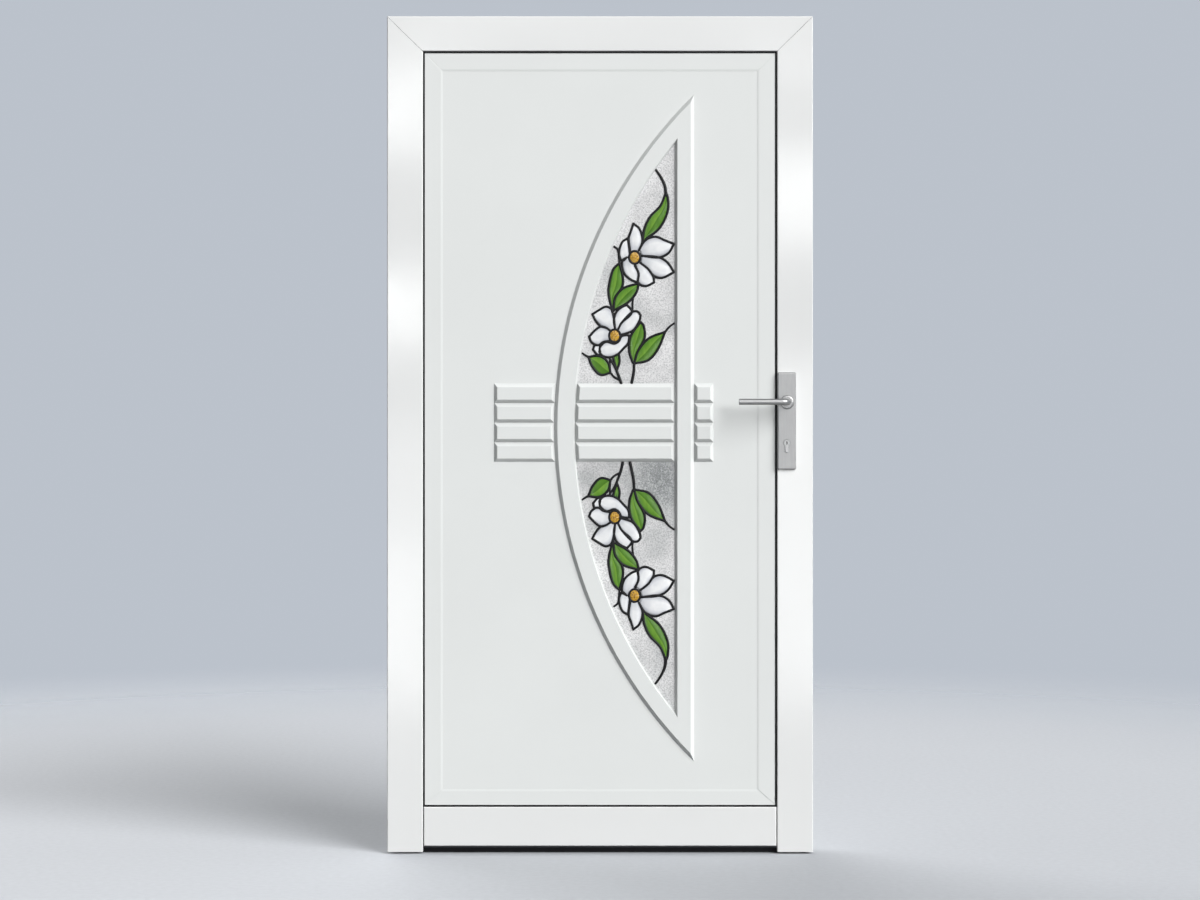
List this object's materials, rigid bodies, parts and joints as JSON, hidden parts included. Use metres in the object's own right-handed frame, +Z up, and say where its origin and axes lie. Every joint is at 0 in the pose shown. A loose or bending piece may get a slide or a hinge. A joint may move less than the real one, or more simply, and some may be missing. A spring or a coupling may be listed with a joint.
{
  "type": "front door",
  "caption": "Hinged front door leaf with a raised bow-shaped window, cross ribs, lever handles and a lock, hung in a slim concealed frame with a low threshold.",
  "frame": {"origin": "middle of the underside of the threshold, on the floor", "axes": "+Z up; the outer face, with the bow's string on the right, looks along -Y; +X to the right seen from outside"},
  "size_m": [1.07, 0.2104, 2.105],
  "materials": {
    "white_profile": "gloss",
    "white_panel": "satin",
    "frame_profile": "satin",
    "insulation": "matte",
    "black_seal": "matte",
    "dark_threshold": "satin",
    "ornament_glass": "textured",
    "petal_glass": "gloss",
    "leaf_glass": "gloss",
    "amber_glass": "gloss",
    "lead_came": "satin",
    "satin_steel": "satin",
    "lock_nickel": "satin",
    "hinge_steel": "satin"
  },
  "bodies": {
    "frame": {"frame_hinge_jamb": "frame_profile", "frame_lock_jamb": "frame_profile", "frame_head": "frame_profile", "threshold": "dark_threshold", "frame_stop_seal": "black_seal", "strike_plate": "satin_steel", "hinge_lower_frame_half": "hinge_steel", "hinge_middle_frame_half": "hinge_steel", "hinge_upper_frame_half": "hinge_steel"},
    "leaf": {"leaf_hinge_stile": "white_profile", "leaf_lock_stile": "white_profile", "leaf_top_rail": "white_profile", "leaf_bottom_rail": "white_profile", "panel_core": "insulation", "outer_panel_skin": "white_panel", "outer_panel_border": "white_panel", "outer_bow_frame": "white_panel", "outer_left_ribs": "white_panel", "outer_middle_ribs": "white_panel", "outer_right_ribs": "white_panel", "outer_panel_gasket": "black_seal", "outer_upper_pane": "ornament_glass", "outer_lower_pane": "ornament_glass", "outer_backplate": "satin_steel", "inner_panel_skin": "white_panel", "inner_panel_border": "white_panel", "inner_bow_frame": "white_panel", "inner_left_ribs": "white_panel", "inner_middle_ribs": "white_panel", "inner_right_ribs": "white_panel", "inner_panel_gasket": "black_seal", "inner_upper_pane": "ornament_glass", "inner_lower_pane": "ornament_glass", "inner_backplate": "satin_steel", "leaf_bottom_seal": "black_seal", "lock_faceplate": "satin_steel", "lock_cylinder": "lock_nickel", "hinge_lower_leaf_half": "hinge_steel", "hinge_middle_leaf_half": "hinge_steel", "hinge_upper_leaf_half": "hinge_steel"},
    "lever": {"outer_lever": "satin_steel", "inner_lever": "satin_steel", "handle_spindle": "satin_steel"},
    "key_plug": {"key_plug": "lock_nickel"}
  },
  "joints": [
    {"name": "leaf_swing", "type": "hinge", "parent": "frame", "child": "leaf", "pos_m": [-0.526, -0.043, 1.0525], "axis": [0, 0, -1], "range_deg": [0, 100]},
    {"name": "lever_turn", "type": "hinge", "parent": "leaf", "child": "lever", "pos_m": [0.469, -0.0375, 1.1345], "axis": [0, -1, 0], "range_deg": [0, 40], "stiffness_Nm_per_rad": 1.5, "springref_deg": -34.38},
    {"name": "key_turn", "type": "hinge", "parent": "leaf", "child": "key_plug", "pos_m": [0.469, -0.0375, 1.0325], "axis": [0, -1, 0], "continuous": true}
  ]
}
